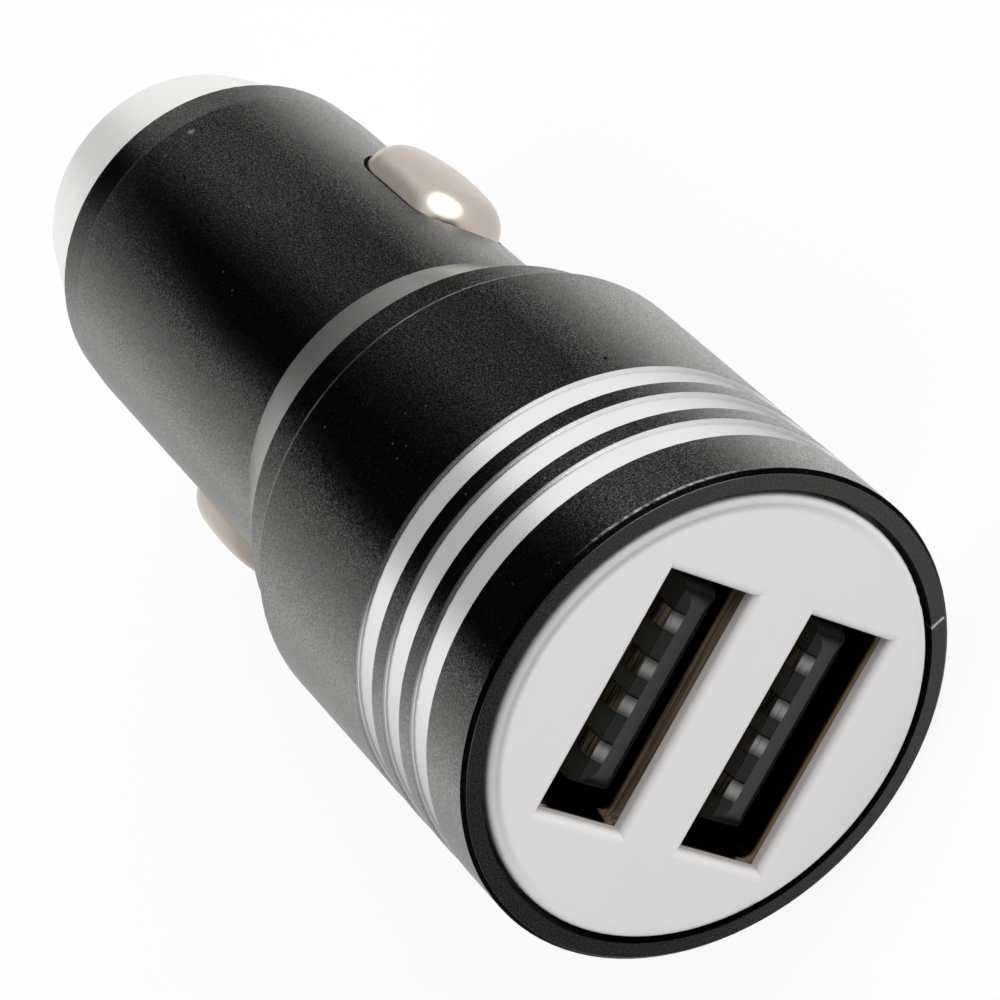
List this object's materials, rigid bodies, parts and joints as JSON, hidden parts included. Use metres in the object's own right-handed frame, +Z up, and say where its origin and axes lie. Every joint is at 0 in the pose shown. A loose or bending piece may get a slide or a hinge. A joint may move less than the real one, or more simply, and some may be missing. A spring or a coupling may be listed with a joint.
{
  "type": "car usb charger plug",
  "caption": "Metal car charger plug with USB-A ports in a white face, bright rings round its black head, sprung side contacts and a sprung tip for a dashboard socket.",
  "frame": {"origin": "on the plug's axis at the shoulder, where the flare of the head meets the barrel", "axes": "+Y along the axis towards the tip, port face towards -Y, +Z up with one port above the other, side contacts towards +X and -X"},
  "size_m": [0.0258, 0.0632, 0.0258],
  "materials": {
    "black_anodised_shell": "blasted and anodised black, bright-cut rings",
    "white_plate": "gloss",
    "receptacle_steel": "plated",
    "receptacle_black": "moulded",
    "contact_strip": "plated",
    "circuit_board": "solder mask",
    "liner_plastic": "moulded",
    "ferrite": "sintered",
    "copper_winding": "enamelled",
    "capacitor_can": "drawn",
    "component_black": "moulded",
    "component_white": "ceramic",
    "carrier_plastic": "moulded",
    "side_contact_nickel": "satin nickel",
    "spring_steel": "bright",
    "nose_metal": "turned bright",
    "tip_nickel": "nickel plated"
  },
  "bodies": {
    "body": {"body_shell": "black_anodised_shell", "front_plate": "white_plate", "usb_shell_upper": "receptacle_steel", "usb_shell_lower": "receptacle_steel", "usb_tongue_upper": "receptacle_black", "usb_tongue_lower": "receptacle_black", "usb_contacts_upper": "contact_strip", "usb_contacts_lower": "contact_strip", "usb_board": "circuit_board", "insulating_liner": "liner_plastic", "converter_board": "circuit_board", "choke_core": "ferrite", "choke_winding": "copper_winding", "input_capacitor": "capacitor_can", "output_capacitor": "capacitor_can", "converter_chip": "component_black", "rectifier_diode": "component_black", "chip_resistors": "component_black", "fuse_link": "component_white", "contact_carrier": "carrier_plastic", "side_spring_right": "spring_steel", "side_spring_left": "spring_steel", "nose_ring": "nose_metal", "tip_insulator": "carrier_plastic", "centre_spring": "spring_steel", "positive_terminal": "contact_strip"},
    "right_contact": {"side_contact_right": "side_contact_nickel"},
    "left_contact": {"side_contact_left": "side_contact_nickel"},
    "tip_contact": {"centre_contact": "tip_nickel"}
  },
  "joints": [
    {"name": "tip_press", "type": "slide", "parent": "body", "child": "tip_contact", "axis": [0, 1, 0], "range_m": [-0.0022, 0], "stiffness_N_per_m": 400, "springref_m": 0.003, "deforming": ["centre_spring"]},
    {"name": "right_contact_press", "type": "slide", "parent": "body", "child": "right_contact", "axis": [1, 0, 0], "range_m": [-0.0013, 0], "stiffness_N_per_m": 800, "springref_m": 0.001, "deforming": ["side_spring_right"]},
    {"name": "left_contact_press", "type": "slide", "parent": "body", "child": "left_contact", "axis": [-1, 0, 0], "range_m": [-0.0013, 0], "stiffness_N_per_m": 800, "springref_m": 0.001, "deforming": ["side_spring_left"]}
  ]
}
